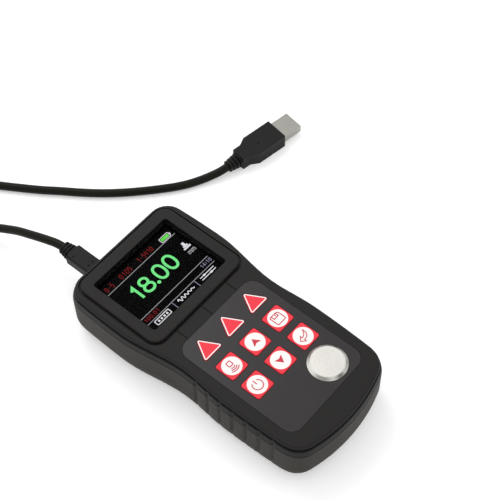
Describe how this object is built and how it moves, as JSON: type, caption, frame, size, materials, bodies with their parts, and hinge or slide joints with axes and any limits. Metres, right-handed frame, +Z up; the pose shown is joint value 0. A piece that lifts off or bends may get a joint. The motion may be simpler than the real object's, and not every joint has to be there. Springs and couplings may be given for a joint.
{
  "type": "ultrasonic thickness gauge",
  "caption": "Handheld ultrasonic thickness gauge with a waisted case, ribbed grips, framed screen, red keypad, steel test disc, probe sockets and a plugged-in data cable.",
  "frame": {"origin": "under the middle of the case, on the surface that its back lies on", "axes": "+X to the right as the keypad is read, +Y along the case towards the screen end, +Z up out of the keypad"},
  "size_m": [0.2079, 0.29, 0.032],
  "materials": {
    "case_plastic": "fine matte texture, black",
    "screw_steel": "plated steel",
    "lens_clear": "clear, glossy",
    "foam": "black closed-cell foam",
    "panel_black": "black display face",
    "holder_white": "white moulding",
    "label_film": "printed grey film, satin",
    "key_red": "printed red film with white signs, satin",
    "board_green": "green solder mask",
    "spring_steel": "plated spring steel",
    "part_black": "black moulding",
    "disc_steel": "fine turned steel",
    "socket_steel": "plated steel",
    "socket_nickel": "matte nickel",
    "insulator_white": "white",
    "contact_gold": "gold plated",
    "cell_jacket": "printed metal jacket, no marks",
    "plug_black": "black overmould, satin",
    "plug_shell": "bright plated steel",
    "cable_black": "black cable jacket, satin",
    "tie_black": "black nylon",
    "tongue_white": "white moulding"
  },
  "bodies": {
    "case": {"front_case": "case_plastic", "rear_case": "case_plastic", "case_screws": "screw_steel", "display_lens": "lens_clear", "display_gasket": "foam", "display_panel": "panel_black", "display_holder": "holder_white", "keypad_label": "label_film", "keypad_board": "board_green", "snap_domes": "spring_steel", "keypad_header": "part_black", "test_disc": "disc_steel", "main_board": "board_green", "board_chips": "part_black", "board_screws": "screw_steel", "data_socket": "socket_steel", "probe_socket_left": "socket_nickel", "probe_socket_right": "socket_nickel", "socket_insulators": "insulator_white", "socket_contacts": "contact_gold", "socket_nuts": "socket_nickel", "battery_cell_left": "cell_jacket", "battery_cell_right": "cell_jacket", "battery_contacts": "spring_steel", "battery_springs": "spring_steel", "mini_plug": "plug_black", "mini_plug_shell": "plug_shell", "cable_gauge_run": "cable_black", "cable_coil": "cable_black", "cable_tie": "tie_black", "cable_plug_run": "cable_black", "data_plug": "plug_black", "data_plug_shell": "plug_shell", "data_plug_tongue": "tongue_white"},
    "battery_cover": {"battery_cover": "case_plastic"},
    "soft_key_left": {"soft_key_left": "key_red"},
    "soft_key_middle": {"soft_key_middle": "key_red"},
    "soft_key_right": {"soft_key_right": "key_red"},
    "probe_key": {"probe_key": "key_red"},
    "up_key": {"up_key": "key_red"},
    "save_key": {"save_key": "key_red"},
    "power_key": {"power_key": "key_red"},
    "down_key": {"down_key": "key_red"},
    "enter_key": {"enter_key": "key_red"}
  },
  "joints": [
    {"name": "battery_cover_slide", "type": "slide", "parent": "case", "child": "battery_cover", "axis": [0, -1, 0], "range_m": [0, 0.092]},
    {"name": "soft_key_left_press", "type": "slide", "parent": "case", "child": "soft_key_left", "axis": [0, 0, -1], "range_m": [0, 0.0004], "stiffness_N_per_m": 2500},
    {"name": "soft_key_middle_press", "type": "slide", "parent": "case", "child": "soft_key_middle", "axis": [0, 0, -1], "range_m": [0, 0.0004], "stiffness_N_per_m": 2500},
    {"name": "soft_key_right_press", "type": "slide", "parent": "case", "child": "soft_key_right", "axis": [0, 0, -1], "range_m": [0, 0.0004], "stiffness_N_per_m": 2500},
    {"name": "probe_key_press", "type": "slide", "parent": "case", "child": "probe_key", "axis": [0, 0, -1], "range_m": [0, 0.0004], "stiffness_N_per_m": 2500},
    {"name": "up_key_press", "type": "slide", "parent": "case", "child": "up_key", "axis": [0, 0, -1], "range_m": [0, 0.0004], "stiffness_N_per_m": 2500},
    {"name": "save_key_press", "type": "slide", "parent": "case", "child": "save_key", "axis": [0, 0, -1], "range_m": [0, 0.0004], "stiffness_N_per_m": 2500},
    {"name": "power_key_press", "type": "slide", "parent": "case", "child": "power_key", "axis": [0, 0, -1], "range_m": [0, 0.0004], "stiffness_N_per_m": 2500},
    {"name": "down_key_press", "type": "slide", "parent": "case", "child": "down_key", "axis": [0, 0, -1], "range_m": [0, 0.0004], "stiffness_N_per_m": 2500},
    {"name": "enter_key_press", "type": "slide", "parent": "case", "child": "enter_key", "axis": [0, 0, -1], "range_m": [0, 0.0004], "stiffness_N_per_m": 2500}
  ]
}
